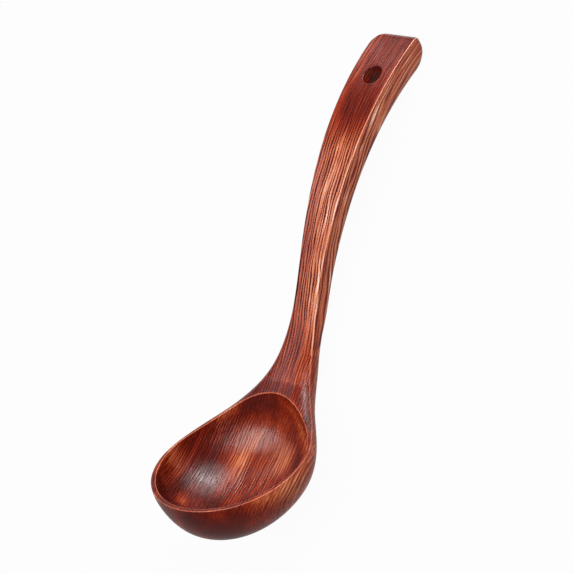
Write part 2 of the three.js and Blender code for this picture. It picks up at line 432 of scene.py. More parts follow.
print(f"the joint wanders {1000 * np.ptp(joint_offsets['under']):.1f} mm along the underside")

# %% [markdown]
# ## Bowl, outside
# The bowl is carved round, with a blunt lip. Behind its widest place it is a stack of sections. In
# front, sections would shrink to a point on the lip and pinch there, so the front half is drawn by
# level lines: seen from above, each keeps the directions of the rim and draws in towards the keel.

# %% Outline of the lip
lip_points = 121

plan_angles = np.linspace(1.5 * np.pi, 0.5 * np.pi, lip_points)
rim_spread = np.array([lip_reach, bowl_half_width - rim_draw_in])
lip_outline = rim_spread * heading(plan_angles)
lip_outward = lip_outline / rim_spread**2
lip_outward /= np.linalg.norm(lip_outward, axis=-1, keepdims=True)
lip_inner = lip_outline - rim_ease * lip_outward
print("lip:", lip_points, "points")

# %% Front half of the bowl
keel_fullness = 2.6
past_the_rim = 1.1
tiny = 1e-18


def rim_share(depth):
    """Share of the rim's outline that the outside keeps at each depth, by halving the interval.

    There (y / half)^p + (depth / thick)^p = 1. Both shrink towards the lip, half as a bellied
    ellipse and thick with the keel's own fullness.
    """
    forward = -np.cos(plan_angles)
    share_in = rim_draw_in / bowl_half_width
    across = np.abs(np.sin(plan_angles)) * (1 - share_in) / belly(share_in, depth[:, None])
    low, high = np.zeros((2, len(depth), lip_points))
    high += past_the_rim
    for _ in range(walks):
        share = (low + high) / 2
        half = np.sqrt(np.maximum(1 - (share * forward) ** 2, tiny))
        thick = np.maximum(1 - (share * np.maximum(forward, 0)) ** keel_fullness, tiny)
        thick = bowl_depth * thick ** (1 / keel_fullness)
        outside = (share * across / half) ** bowl_squareness
        outside = outside + (depth[:, None] / thick) ** bowl_squareness > 1
        low, high = np.where(outside, low, share), np.where(outside, share, high)
    return low


def level(plan, z=0.0):
    """Plan points lifted to height z, which is one for all, for each row or for each point."""
    heights = np.broadcast_to(z, plan.shape[:-1])
    return np.concatenate([plan, heights[..., None]], axis=-1)


widest = under_columns(np.zeros(under_points))[: under_points // 2 + 1]
front_heights = widest[:, 2]
front_shares = rim_share(-front_heights)
front_outside = level(front_shares[..., None] * lip_outline, front_heights[:, None])
front_arris = leaning(level(lip_inner), level(lip_outline), front_outside[0], ease_rows)
print("front half:", front_outside.shape[:2], "points")

# %% Sides and neck of the bowl
rim_ends_x = 47 * mm
shoulder_sections = 41
neck_sections = 37

rim_ends_at = float(along_at(rim_ends_x))
shoulder_rows = np.linspace(0, rim_ends_at, shoulder_sections)
closing = np.linspace(0, 1, neck_sections)
neck_rows = rim_ends_at + (joint_at - rim_ends_at) * (1 - (1 - closing) ** 2)
# Half of a smoothstep, doubled: 0 where the rim ends and 1 on the joint.
neck_bending = smoothstep(neck_rows, rim_ends_at, 2 * joint_at - rim_ends_at) * 2
bowl_rows = np.concatenate([shoulder_rows, neck_rows[1:]])
bowl_bending = np.concatenate([0 * shoulder_rows, neck_bending[1:]])
below_the_rim = ("left", "under", "right")
bowl_skin = {name: band_grid(name, bowl_rows, bowl_bending) for name in below_the_rim}
bowl_skin["top"] = band_grid("top", neck_rows, neck_bending)
print(len(bowl_rows), "sections up to the joint")

# %% [markdown]
# ## Rim and hollow
# The rim is the wood left between the outside and the hollow, which is cut out with a gouge: one
# egg-shaped plan that draws in towards the floor. A Boolean could cut it, but the rim would get
# slivers for faces. So the rim is one patch: straight lines, seen from above, join its outer edge
# to the hollow's edge, which fine sanding has eased, and are laid on the upper face.

# %% Outer edge of the rim
shoulder_inner = np.stack([shoulder_rows, inner_half(shoulder_rows, 1)], axis=-1)
cross = np.linspace(1, -1, across_points)[1:-1]
cross_line = np.stack([rim_ends_at + 0 * cross, cross * inner_half(rim_ends_at, 1)], axis=-1)
rim_outer = np.concatenate(
    [shoulder_inner[:0:-1] * (1, -1), lip_inner, shoulder_inner[1:], cross_line]
)
print(len(rim_outer), "points round the rim")

# %% Edge of the hollow
side_wall = 1.3 * mm
lip_wall = 2.1 * mm
ellipse = 2
hollow_egg = 1.8

hollow_half_length = (hollow_back + lip_reach - lip_wall) / 2
hollow_middle = hollow_back - hollow_half_length
hollow_half_width = bowl_half_width - rim_draw_in - side_wall
hollow_spread = np.array([hollow_half_length, hollow_half_width])
gouge_angles = np.arctan2(
    rim_outer[:, 1] / hollow_half_width,
    (face_x(rim_outer[:, 0]) - hollow_middle) / hollow_half_length,
)
# The plan is |x|^p + |y|^p = 1: an ellipse in front, and a blunt point towards the neck.
egg = np.where(np.cos(gouge_angles) > 0, hollow_egg, ellipse)
bearing = heading(gouge_angles)
egg_radius = (np.abs(bearing) ** egg[:, None]).sum(axis=-1) ** (-1 / egg)
egg_plan = egg_radius[:, None] * bearing
hollow_edge = egg_plan * hollow_spread + (hollow_middle, 0)
edge_outward = np.sign(egg_plan) * np.abs(egg_plan) ** (egg[:, None] - 1) / hollow_spread
edge_outward /= np.linalg.norm(edge_outward, axis=-1, keepdims=True)
print(f"hollow: {2000 * hollow_half_length:.1f} mm long")

# %% Rim
hollow_ease = 0.45 * mm
rim_points = 7


def laid_lines(face, inner, outer, count):
    """Grid of straight lines from one loop to another, seen from above and laid on a face."""
    shares = np.linspace(0, 1, count)[:, None, None]
    lines = (1 - shares) * inner + shares * outer
    return face(lines[..., 0], lines[..., 1])


eased_edge = hollow_edge + hollow_ease * edge_outward
rim_inner = np.stack([along_at(eased_edge[:, 0]), eased_edge[:, 1]], axis=-1)
rim = laid_lines(top_at, rim_inner, rim_outer, rim_points)
print("rim:", rim.shape[:2], "points")

# %% Hollow
floor_wall = 4.2 * mm
hollow_fullness = 2.2
hollow_points = 90

hollow_depth = bowl_depth - floor_wall
edge_top = top_at(along_at(hollow_edge[:, 0]), hollow_edge[:, 1])
wall_top = edge_top[:, 2] - hollow_ease
turn = np.linspace(0, np.pi / 2, hollow_points)[:, None]
hollow_z = wall_top - (hollow_depth + wall_top) * np.sin(turn) ** (2 / hollow_fullness)
# The plan shrinks with the depth: share^p + sunk^p = 1.
sunk = np.clip(-hollow_z / hollow_depth, 0, 1)
hollow_share = (1 - sunk**hollow_fullness) ** (1 / hollow_fullness)
hollow_plan = hollow_share[..., None] * egg_plan * hollow_spread + (hollow_middle, 0)
hollow = level(hollow_plan, hollow_z)
hollow_lip = leaning(rim[0], edge_top, hollow[0], ease_rows)
print("hollow:", hollow.shape[:2], "points")

# %% [markdown]
# ## Handle
# The handle goes on from the joint as a stack of full sections. The hanging hole is drilled square
# to its upper face. A Boolean would leave long thin faces round it. Instead both faces leave a
# rectangle of the grid open, and a patch of straight lines joins it to the round mouth.

# %% Sections of the handle
hole_clear = 9.5 * mm
grip_sections = 111
hole_sections = 33
after_sections = 8
end_sections = 33
gathered = 0.25
gathering = 1.5

hole_rows = np.linspace(hole_at - hole_clear, hole_at + hole_clear, hole_sections)
straight_end = reach - end_round_back
leading = np.linspace(0, 1, grip_sections)
leading = gathered * leading**2 + (1 - gathered) * leading**gathering
grip_rows = joint_at + (hole_rows[0] - joint_at) * leading
after_rows = np.linspace(hole_rows[-1], straight_end, after_sections)
end_rows = straight_end + end_round_back * np.sin(np.linspace(0, np.pi / 2, end_sections))
handle_rows = np.concatenate([grip_rows, hole_rows[1:], after_rows[1:], end_rows[1:]])
handle_bending = 1 - smoothstep(handle_rows, joint_at, square_to)
handle_skin = {name: band_grid(name, handle_rows, handle_bending) for name in bands}
print(len(handle_rows), "sections after the joint")

# %% Open rectangles for the hole
hole_columns = 38

first_hole_row = len(grip_rows) - 1
last_hole_row = first_hole_row + hole_sections - 1
hole_span = slice(first_hole_row, last_hole_row)
first_columns = {name: (bands[name][1] - 1 - hole_columns) // 2 for name in ("top", "under")}
windows = {
    name: (hole_span, slice(first, first + hole_columns)) for name, first in first_columns.items()
}


def window_loop(grid):
    """Points round the rectangle that a face leaves open, in order."""
    near, far = grid[first_hole_row], grid[last_hole_row]
    span = slice(first_hole_row + 1, last_hole_row)
    return np.concatenate([near, grid[span, -1], far[::-1], grid[span, 0][::-1]])


print("open columns:", hole_columns)

# %% Mouths of the hole
hole_radius = 5 * mm
hole_ease = 0.5 * mm
patch_points = 9

hole_heading = np.array([np.cos(hole_slope), 0, np.sin(hole_slope)])
hole_up = np.array([-np.sin(hole_slope), 0, np.cos(hole_slope)])


def mouth(face, bearing, radius):
    """Points of a face at this radius from the hole's axis, found by walking along the face."""
    y = hole_off_centre + radius * np.sin(bearing)
    along = hole_at + radius * np.cos(bearing)
    for _ in range(walks):
        short = (face(along, y) - hole_centre) @ hole_heading - radius * np.cos(bearing)
        along = along - walk_share * short
    return np.stack([along, y], axis=-1)


def drilled_face(name, face, into):
    """Patch from the open rectangle to the mouth, and the eased mouth, turned into the hole."""
    columns = slice(first_columns[name], first_columns[name] + hole_columns + 1)
    across = handle_skin[name][:, columns, 1]
    if name == "under":
        across = across[:, ::-1]
    places = np.broadcast_to(handle_rows[:, None], across.shape)
    loop = window_loop(np.stack([places, across], axis=-1))
    bearing = np.arctan2(loop[:, 1] - hole_off_centre, loop[:, 0] - hole_at)
    round_mouth = mouth(face, bearing, hole_radius + hole_ease)
    patch = laid_lines(face, loop, round_mouth, patch_points)
    sharp = face(*mouth(face, bearing, hole_radius).T)
    lip = leaning(patch[-1], sharp, sharp + hole_ease * into, ease_rows)
    return patch, lip, bearing


top_patch, top_lip, top_bearing = drilled_face("top", top_at, -hole_up)
under_patch, under_lip, under_bearing = drilled_face("under", under_at, hole_up)
print("patch round the mouth:", top_patch.shape[:2])

# %% Wall of the hole
wall_points = 25

down = np.linspace(0, 1, wall_points)[:, None]
wall_turn = (under_bearing - top_bearing + np.pi) % (2 * np.pi) - np.pi
wall_bearing = top_bearing + down * wall_turn
wall_height = (1 - down) * (top_lip[-1] @ hole_up) + down * (under_lip[-1] @ hole_up)
wall_height = wall_height - hole_centre @ hole_up
hole_axes = np.stack([hole_heading, (0, 1, 0)])
hole_wall = hole_centre + hole_radius * heading(wall_bearing) @ hole_axes
hole_wall = hole_wall + wall_height[..., None] * hole_up
print("hole wall:", hole_wall.shape[:2], "points")

# %% [markdown]
# ## Writing shader maths as arithmetic
# A material is a tree of nodes, which could be wired by hand but is hard to read. This small class
# wraps one output socket: adding or multiplying two of them adds the Math node, so the recipe of
# the wood below reads like a formula. Every other node comes from one method.

# %% A socket that does arithmetic


class Shade:
    """One value on its way through a material's node tree."""

    def __init__(self, tree, socket=None):
        self.tree = tree
        self.socket = socket

    def node(self, kind, settings=None, inputs=None, output=0):
        """Adds a node: its settings first, then each input's value or link. Gives one output."""
        made = self.tree.nodes.new(kind)
        for name, value in (settings or {}).items():
            if name == "stops":
                set_stops(made.color_ramp, value)
            else:
                setattr(made, name, value)
        for name, value in (inputs or {}).items():
            if isinstance(value, Shade):
                self.tree.links.new(value.socket, made.inputs[name])
            else:
                made.inputs[name].default_value = value
        return Shade(self.tree, made.outputs[output] if made.outputs else None)

    def maths(self, operation, first, second=0.0):
        """Adds one Math node on two values."""
        return self.node("ShaderNodeMath", {"operation": operation}, {0: first, 1: second})

    def __add__(self, other):
        return self.maths("ADD", self, other)

    def __sub__(self, other):
        return self.maths("SUBTRACT", self, other)

    def __rsub__(self, other):
        return self.maths("SUBTRACT", other, self)

    def __mul__(self, other):
        return self.maths("MULTIPLY", self, other)

    __radd__ = __add__
    __rmul__ = __mul__

    def ease(self, low, high):
        """0 below low, 1 above high, smooth between them. High may lie below low."""
        settings = {"interpolation_type": "SMOOTHSTEP"}
        inputs = {"Value": self, "From Min": low, "From Max": high}
        return self.node("ShaderNodeMapRange", settings, inputs)

    def fade(self, off, on):
        """From off, where this value is 0, to on, where it is 1: off + value x (on - off)."""
        return off + self * (on - off)


def set_stops(ramp, stops):
    """Gives a colour ramp these (place, colour) stops."""
    while len(ramp.elements) < len(stops):
        ramp.elements.new(0.5)
    for element, (place, colour) in zip(ramp.elements, stops):
        element.position = place
        element.color = (*colour, 1)


def new_material(name):
    """Empty material, and a Shade to grow its nodes from."""
    material = bpy.data.materials.new(name)
    material.use_nodes = True
    material.node_tree.nodes.clear()
    return material, Shade(material.node_tree)


print("shader maths ready")

# %% [markdown]
# ## Fibres
# The ladle is cut from straight-grained reddish wood, whose fibres follow the bend of the handle
# and lie inclined in the bowl. An image could be wrapped round it, but real grain goes through the
# wood. So the pattern is a function of the place in the wood: along the fibres, across them, and
# below the line that they follow.

# %% Fibre line
fibre_start = np.array([-60, -40]) * mm
fibre_slope = np.radians(25)
fibre_pull = 60 * mm
fibre_walk_share = 0.6

fibre_line = bezier(fibre_start, fibre_slope, fibre_pull, knee, knee_slope, fibre_pull)
fibre_line = np.vstack([fibre_line, bend[1:]])
fibre_along, fibre_turn = walked(fibre_line)
fibre_reach = float(fibre_along[-1])


def in_the_wood(points):
    """Distance along the fibres, across them and below their line, for points of the drawing."""
    along = points[:, 0] - fibre_start[0]
    for _ in range(walks):
        slope = np.interp(along, fibre_along, fibre_turn)
        x = points[:, 0] - np.interp(along, fibre_along, fibre_line[:, 0])
        z = points[:, 2] - np.interp(along, fibre_along, fibre_line[:, 1])
        along = along + fibre_walk_share * (x * np.cos(slope) + z * np.sin(slope))
    depth = x * np.sin(slope) - z * np.cos(slope)
    return np.stack([along, points[:, 1], depth], axis=-1)


print(f"fibres: {1000 * fibre_reach:.0f} mm")

# %% [markdown]
# ## Growth layers
# The layers are tilted, so the upper face shows fine parallel lines and the sides broader, wavier
# ones. A wave texture gives lines that are all alike. Noise stretched along the fibres and squeezed
# across the layers gives lines that start, fade and wander as real ones do.

# %% Streaks in the wood
layer_tilt = np.radians(-38)
wander_scale = 25.0
wander_reach = 3 * mm
streak_roughness = 0.55
line_size = (50, 0.5, 7)
sway_size = (18, 3, 6)
dash_size = (22, 1.4, 3)
fibre_size = (14, 0.45, 1.5)
blush_size = (32, 11, 14)
blush_board = 9.0


def grain_places(shade, place):
    """A place turned to the wood: along the fibres, across the layers, within a layer."""
    x, y, z = (shade.node("ShaderNodeSeparateXYZ", inputs={0: place}, output=i) for i in range(3))
    wandering = {"Vector": place, "Scale": wander_scale, "Detail": 1.0}
    wander = shade.node("ShaderNodeTexNoise", inputs=wandering)
    cosine, sine = map(float, heading(layer_tilt))
    across = y * cosine + z * sine
    within = z * cosine - y * sine
    return x, across + (wander - 0.5) * wander_reach, within


def streaks(shade, places, sizes, detail=1.0, board=0.0):
    """Noise with blotches of these sizes in mm: along the fibres, across and within the layers."""
    scaled = [place * (1 / (size * mm)) for place, size in zip(places, sizes)]
    vector = shade.node("ShaderNodeCombineXYZ", inputs=dict(enumerate(scaled)))
    inputs = {"Vector": vector, "W": board, "Scale": 1.0, "Detail": detail}
    inputs["Roughness"] = streak_roughness
    return shade.node("ShaderNodeTexNoise", {"noise_dimensions": "4D"}, inputs)


lacquered_wood, shade = new_material("lacquered_wood")
grain = shade.node("ShaderNodeAttribute", {"attribute_name": "grain"}, output="Vector")
places = grain_places(shade, grain)
lines = streaks(shade, places, line_size)
sway = streaks(shade, places, sway_size)
dashes = streaks(shade, places, dash_size)
fibres = streaks(shade, places, fibre_size, detail=2.0)
blush = streaks(shade, places, blush_size, board=blush_board)
print("five kinds of streaks")

# %% [markdown]
# ## Pores and marks
# Rows of open pores stand between the layers like a comb's teeth, plain to see on the grip and quiet
# elsewhere. Worn edges with painted highlights, stain with painted shade, and polish belong to the
# carved surface. They could be painted by hand, but the skins know their edges and faces, so each
# point carries its marks as attributes.

# %% Comb of pores
layer_pitch = 1.28 * mm
comb_sway = 12.0
stripe_edge = (0.4, 0.6)
pore_edge = (0.2, -0.7)
dash_gaps = (0.25, 0.6)

stripes = lines.ease(*stripe_edge)
comb = shade.maths("SINE", places[1] * (2 * np.pi / layer_pitch) + sway * comb_sway)
pores = comb.ease(*pore_edge) * dashes.ease(*dash_gaps)
print(f"a row of pores every {1000 * layer_pitch:.2f} mm")

# %% Marks of the carved surface
grip_begins = (0.15, 0.24)
grip_fades = (0.62, 0.45)
bowl_begins = (0.57, 0.72)

edge, dark, end_grain, polish, flank = (
    shade.node("ShaderNodeAttribute", {"attribute_name": name}, output="Fac")
    for name in ("edge", "dark", "end_grain", "polish", "flank")
)
from_end = (fibre_reach - places[0]) * (1 / fibre_reach)
on_grip = from_end.ease(*grip_begins) * from_end.ease(*grip_fades)
on_bowl = from_end.ease(*bowl_begins)
print("seven marks")

# %% [markdown]
# ## Tone of the wood
# The tone shifts between deep red and orange along the ladle, partly the wood's own colour and
# partly painted sheen on the upper face, with patches, strongest in the bowl. Its sides shift less
# and the other way, partly as painted light, cut ends are darker, and worn edges are pale, partly as
# a painted highlight. Colour mixes could say this, but one tone from 0 to 1, turned into a colour by
# a single ramp, keeps every colour within the same wood.

# %% Colours and drift
# The top stop is the pale pink that edges reach, partly a painted highlight.
wood_stops = [
    (0.0, (0.06, 0.004, 0.002)),
    (0.25, (0.12, 0.008, 0.003)),
    (0.5, (0.26, 0.024, 0.006)),
    (0.75, (0.47, 0.105, 0.038)),
    (0.9, (0.65, 0.215, 0.092)),
    (1.0, (0.88, 0.54, 0.42)),
]
# Millimetres from the handle's end, and the tone there: partly the wood's own colour, partly painted
# sheen on the upper face.
drift_and_sheen_tones = {0: 0.39, 26: 0.36, 48: 0.23, 66: 0.575, 130: 0.58, 165: 0.52, 205: 0.46, 250: 0.39}

drift_and_sheen_stops = [(d * mm / fibre_reach, (tone,) * 3) for d, tone in drift_and_sheen_tones.items()]
drift_and_sheen = shade.node("ShaderNodeValToRGB", {"stops": drift_and_sheen_stops}, {"Fac": from_end})
print(len(drift_and_sheen_stops), "tones along the ladle")

# %% Pores, patches and fibres in the tone
stripe_weight = 0.16
pore_depth = 0.62
pore_mean = 0.2
pores_by_place = (0.55, 1.3)
pores_by_polish = (0.6, 1.0)
pores_on_flank = 0.25
patches_by_place = (0.6, 1.8)
patches_by_polish = (0.7, 1.0)
patches_by_flank = (1.0, 0.6)
fibres_by_place = (0.4, 0.65)
fibres_on_flank = 0.25
lines_by_end_grain = (1.0, 0.1)

drawn = on_grip.fade(*pores_by_place) * polish.fade(*pores_by_polish) + flank * pores_on_flank
striking = (stripes - 0.5) * stripe_weight + (pore_mean - pores * pore_depth) * drawn
patchy = on_bowl.fade(*patches_by_place) * polish.fade(*patches_by_polish)
patchy = patchy * flank.fade(*patches_by_flank)
fibrous = on_grip.fade(*fibres_by_place) + flank * fibres_on_flank
figure = (blush - 0.5) * patchy + (fibres - 0.5) * fibrous
figure = figure + striking * end_grain.fade(*lines_by_end_grain)
print("figure drawn")

# %% Tone to colour
# Sides get a tone of their own, mostly lighter than the upper face and going the other way along the
# ladle: partly the side grain's own tone, partly painted light.
face_tone_offset = 0.07
flank_tone_and_painted_light = 0.84
flank_drift_and_painted_light = 0.5
end_grain_stain = 0.25
flank_darkest_and_painted_light = 0.32

tone = flank.fade(drift_and_sheen - face_tone_offset, flank_tone_and_painted_light - drift_and_sheen * flank_drift_and_painted_light)
# The dark mark carries painted shade on the upper face, below the arrises and in the hole's upper
# mouth, a darker rim, and paler walls where it is negative.
tone = tone + figure - end_grain * end_grain_stain - dark
tone = shade.maths("MAXIMUM", tone, flank * flank_darkest_and_painted_light)
# Edges go pale towards the top stop: partly worn, partly a painted highlight on the arrises and rim
# edges.
tone = edge.fade(tone, 1.0)
colour = shade.node("ShaderNodeValToRGB", {"stops": wood_stops}, {"Fac": tone})
print("wood colours:", len(wood_stops), "stops")

# %% [markdown]
# ## Lacquer
# A clear lacquer lies over the wood: polished on the upper face, satin on the sides and below, and
# sunk into the pores of the grip. A coat layer could stand for it, but two finishes mixed by the
# polish each have their own shine. Fibres make the gloss uneven, and a bump finer than the mesh
# raises the stripes and sinks the pores.

# %% Satin and polished finishes
stripe_relief = 0.3
pore_relief = 0.6
fibre_relief = 0.4
relief_strength = 0.7
relief_height = 0.15 * mm
gloss_unevenness = 0.3
lacquer_ior = 1.5
# Shine and roughness of each finish.
finishes = {"satin": (0.06, 0.44), "polished": (0.55, 0.24)}
bare_pores = (0.15, 0.9)

relief = stripes * stripe_relief - pores * pore_relief + fibres * fibre_relief
bumping = {"Height": relief, "Strength": relief_strength, "Distance": relief_height}
bump = shade.node("ShaderNodeBump", inputs=bumping)
uneven = (fibres - 0.5) * gloss_unevenness
coats = []
for shine, roughness in finishes.values():
    inputs = {"Base Color": colour, "Roughness": uneven + roughness, "Normal": bump}
    inputs |= {"IOR": lacquer_ior, "Specular IOR Level": shine}
    coats.append(shade.node("ShaderNodeBsdfPrincipled", inputs=inputs))
shining = polish * (1 - pores * on_grip.fade(*bare_pores))
wood = shade.node("ShaderNodeMixShader", inputs=dict(enumerate([shining, *coats])))
shade.node("ShaderNodeOutputMaterial", inputs={"Surface": wood})
print("lacquered wood:", len(lacquered_wood.node_tree.nodes), "nodes")

# %% [markdown]
# ## Dowels
# The two dowels across the neck's joint are bare pale hardwood, hidden once the joint is glued.
# They could get skins too, but plain turned pegs need none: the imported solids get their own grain.

# %% Dowel wood
dowel_size = (30, 0.6, 1.5)
dowel_roughness = 0.7
dowel_stops = [(0.3, (0.42, 0.28, 0.15)), (0.7, (0.66, 0.47, 0.27))]

dowel_wood, shade = new_material("dowel_wood")
places = grain_places(shade, shade.node("ShaderNodeTexCoord", output="Object"))
dowel_grain = streaks(shade, places, dowel_size, detail=2.0)
dowel_colour = shade.node("ShaderNodeValToRGB", {"stops": dowel_stops}, {"Fac": dowel_grain})
inputs = {"Base Color": dowel_colour, "Roughness": dowel_roughness}
bare = shade.node("ShaderNodeBsdfPrincipled", inputs=inputs)
shade.node("ShaderNodeOutputMaterial", inputs={"Surface": bare})
for name in ("neck_dowel_left", "neck_dowel_right"):
    frame["nodes"][name].data.materials.clear()
    frame["nodes"][name].data.materials.append(dowel_wood)
print("dowels finished")

# %% [markdown]
# ## From grids to pieces
# Every surface above is a grid of points whose borders coincide with its neighbours'. Separate
# objects would show those borders in the gloss. So the grids go into one mesh, points that coincide
# are merged, and the faces are turned outwards. Only steep edges are shaded sharp.

# %% Sheets and their marks


def grid_faces(rows, columns, first, closed, window=None):
    """Corner numbers of a grid's quads, less an open window."""
    numbers = first + np.arange(rows * columns).reshape(rows, columns)
    if closed:
        numbers = np.concatenate([numbers, numbers[:, :1]], axis=1)
    quads = np.stack([numbers[:-1, :-1], numbers[1:, :-1], numbers[1:, 1:], numbers[:-1, 1:]], -1)
    keep = np.ones(quads.shape[:2], bool)
    if window:
        keep[window] = False
    return quads[keep]


def sheet(points, closed=False, window=None, eased=None, wear_and_highlight=1.0, thin=1, polish=1.0, **marks):
    """A grid and its marks. Along an eased axis the edge's paleness (worn, partly a painted
    highlight) is (4t(1-t)) to the power thin.
    """
    edge = np.zeros(points.shape[:2])
    if eased is not None:
        t = np.linspace(0, 1, points.shape[eased])
        edge += wear_and_highlight * np.expand_dims((4 * t * (1 - t)) ** thin, 1 - eased)
    marks = {"dark": 0.0, "flank": 0.0, "polish": polish} | marks
    marks = {"edge": edge} | {kind: value + 0 * edge for kind, value in marks.items()}
    return points, closed, window, marks


def ring(skin, row):
    """One row of the four bands in order round the section."""
    return np.concatenate([skin[name][row][:-1] for name in bands])


def cap(loop):
    """Flat lid: the loop and its middle, as a grid of two rows."""
    return sheet(np.stack([np.broadcast_to(loop.mean(axis=0), loop.shape), loop]), closed=True)


print("sheets ready")

# %% Sheets to a mesh


def carved_mesh(name, sheets):
    """One mesh of all the sheets, with their marks and each point's place in the wood."""
    points, faces, first = [], [], 0
    for grid, closed, window, _ in sheets:
        rows, columns = grid.shape[:2]
        points.append(grid.reshape(-1, 3))
        faces.append(grid_faces(rows, columns, first, closed, window))
        first += rows * columns
    points = np.concatenate(points)
    mesh = bpy.data.meshes.new(name)
    mesh.from_pydata(laid_down(points), [], np.concatenate(faces))
    for kind in ("edge", "dark", "flank", "polish"):
        values = np.concatenate([marks[kind].ravel() for *_, marks in sheets])
        mesh.attributes.new(kind, "FLOAT", "POINT").data.foreach_set("value", values)
    grain = mesh.attributes.new("grain", "FLOAT_VECTOR", "POINT")
    grain.data.foreach_set("vector", in_the_wood(points).ravel())
    return mesh


def mark_cuts(mesh):
    """Squares of the normal's parts: along the fibres for the end grain, along y for the flank."""
    count = len(mesh.vertices)
    grain, normals = np.zeros((2, 3 * count))
    mesh.attributes["grain"].data.foreach_get("vector", grain)
    mesh.vertex_normals.foreach_get("vector", normals)
    slope = np.interp(grain[::3], fibre_along, fibre_turn)
    fibre = np.stack([np.cos(slope), 0 * slope, np.sin(slope)], axis=-1) @ lie.T
    cut = (normals.reshape(-1, 3) * fibre).sum(axis=-1) ** 2
    mesh.attributes.new("end_grain", "FLOAT", "POINT").data.foreach_set("value", cut)
    side = np.zeros(count)
    mesh.attributes["flank"].data.foreach_get("value", side)
    mesh.attributes["flank"].data.foreach_set("value", side * normals[1::3] ** 2)


print("marks ready")

# %% A mesh to a piece
merge_distance = 0.002 * mm
speck_size = 0.0001 * mm
sharp_angle = np.radians(50)


def close_up(mesh):
    """Merges points that coincide, turns the faces outwards and counts the edges left open."""
    work = bmesh.new()
    work.from_mesh(mesh)
    bmesh.ops.remove_doubles(work, verts=work.verts, dist=merge_distance)
    bmesh.ops.dissolve_degenerate(work, edges=work.edges, dist=speck_size)
    bmesh.ops.recalc_face_normals(work, faces=work.faces)
    open_edges = sum(not edge.is_manifold for edge in work.edges)
    work.to_mesh(mesh)
    work.free()
    mesh.shade_smooth()
    mesh.set_sharp_from_angle(angle=sharp_angle)
    return open_edges


def in_scene(name, data):
    """New object at the origin, linked to the scene."""
    made = bpy.data.objects.new(name, data)
    scene.collection.objects.link(made)
    return made


def carved_piece(name, sheets, node):
    """Closed piece of lacquered wood from the sheets, standing for one CAD node."""
    mesh = carved_mesh(name, sheets)
    open_edges = close_up(mesh)
    mark_cuts(mesh)
    mesh.materials.append(lacquered_wood)
    piece = in_scene(name, mesh)
    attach(piece, "root")
    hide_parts(node)
    print(f"{name}: {len(mesh.polygons)} faces, {open_edges} open edges")


print("pieces can be built")

# %% [markdown]
# ## Painted shade and polish
# Painted shade darkens one edge of the upper face and the wood just below both arrises of the neck,
# and the polish fades towards the neck's edges. Noise could vary them, but on the real ladle they
# follow the carved edges, so they are functions of the shares across and along.

# %% Painted shade and polish by place
# Painted shade along the upper face's +Y edge, paler there near the end.
far_edge_painted_shade = 0.15
far_edge_shade_turns = (reach - 70 * mm, reach - 48 * mm)
# Painted shade just below both arrises of the neck and handle.
arris_painted_shade = 0.17
arris_shade_band = (0.78, 0.96)
arris_shade_ends = (reach - 95 * mm, reach - 60 * mm)
dulling = 0.8
dulling_power = 4
outside_polish = 0.1


def painted_face_shade(share, along):
    """Painted shade: how much darker the upper face is towards its +Y edge, and paler there near the
    end.
    """
    changing = 1 - 2 * smoothstep(along, *far_edge_shade_turns)
    return far_edge_painted_shade * changing * smoothstep(share, 0, 1)


def shaded(along):
    """Painted shade just below both arrises, from the neck to the middle of the handle."""
    below = smoothstep(np.abs(np.linspace(-1, 1, under_points)), *arris_shade_band)
    stretch = smoothstep(along, rim_ends_at, joint_at)
    stretch = stretch * (1 - smoothstep(along, *arris_shade_ends))
    return arris_painted_shade * stretch[:, None] * below


def face_polish(dulled):
    """Polish of the upper face: 1 less a power of the share across, as far as it is dulled."""
    return 1 - dulling * dulled * face_shares**dulling_power


print(f"least polish: {face_polish(1.0).min():.1f}")

# %% [markdown]
# ## The bowl as a piece
# Outside, arris, rim, hollow and neck are closed by a flat lid on the joint. The hollow's back wall
# has two paler patches. They could be painted, but a lift towards two directions of the plan that
# fades with the depth is enough.

# %% Bowl
# Pale rim and hollow edges: partly worn, partly a painted highlight.
rim_wear_and_highlight = 0.6
# The rim's top is drawn darker.
rim_darkening = 0.15
rim_polish = 0.6
hollow_lip_wear_and_highlight = 0.7
# Degrees in plan, and how much paler the wall is there.
pale_patches = {-28: 0.17, 25: 0.13}
patch_spread = 0.8

paler_wall = (1 - sunk**2) * sum(
    lift * smoothstep(np.cos(gouge_angles - np.radians(towards)), patch_spread, 1)
    for towards, lift in pale_patches.items()
)
bowl_sheets = [
    sheet(front_outside, polish=outside_polish, flank=1.0),
    sheet(front_arris, eased=0, wear_and_highlight=rim_wear_and_highlight),
    sheet(rim, closed=True, dark=rim_darkening, polish=rim_polish),
    sheet(hollow_lip, closed=True, eased=0, wear_and_highlight=hollow_lip_wear_and_highlight),
    sheet(hollow, closed=True, dark=-paler_wall),
    cap(ring(bowl_skin, -1)),
    sheet(bowl_skin["top"], polish=face_polish(1.0), dark=painted_face_shade(face_shares, joint_at)),
    sheet(bowl_skin["left"], eased=1, wear_and_highlight=rim_wear_and_highlight),
    sheet(bowl_skin["under"], polish=outside_polish, flank=1.0, dark=shaded(bowl_rows)),
    sheet(bowl_skin["right"], eased=1, wear_and_highlight=rim_wear_and_highlight),
]
carved_piece("bowl_skin", bowl_sheets, "bowl")

# %% [markdown]
# ## The handle as a piece
# The handle is closed by a lid on the joint and a small one at its end. Its right arris is pale,
# partly worn and partly a painted highlight, its left one hardly, and the hole's upper mouth is
# darkened with painted shade. A pale line could be a strip of its own, but as a mark on the arris it
# follows the edge and has no border.

# %% Handle
# Pale arrises and hole mouths: partly worn, partly a painted highlight.
wear_and_highlight_thinness = 3
left_arris_wear_and_highlight = 0.25
mouth_wear_and_highlight = 0.15
# Painted shade in the hole's upper mouth.
mouth_painted_shade = 0.2
wall_paler = 0.1
wall_polish = 0.3
lower_mouth_wear_and_highlight = 0.4
underside_polish = 0.5

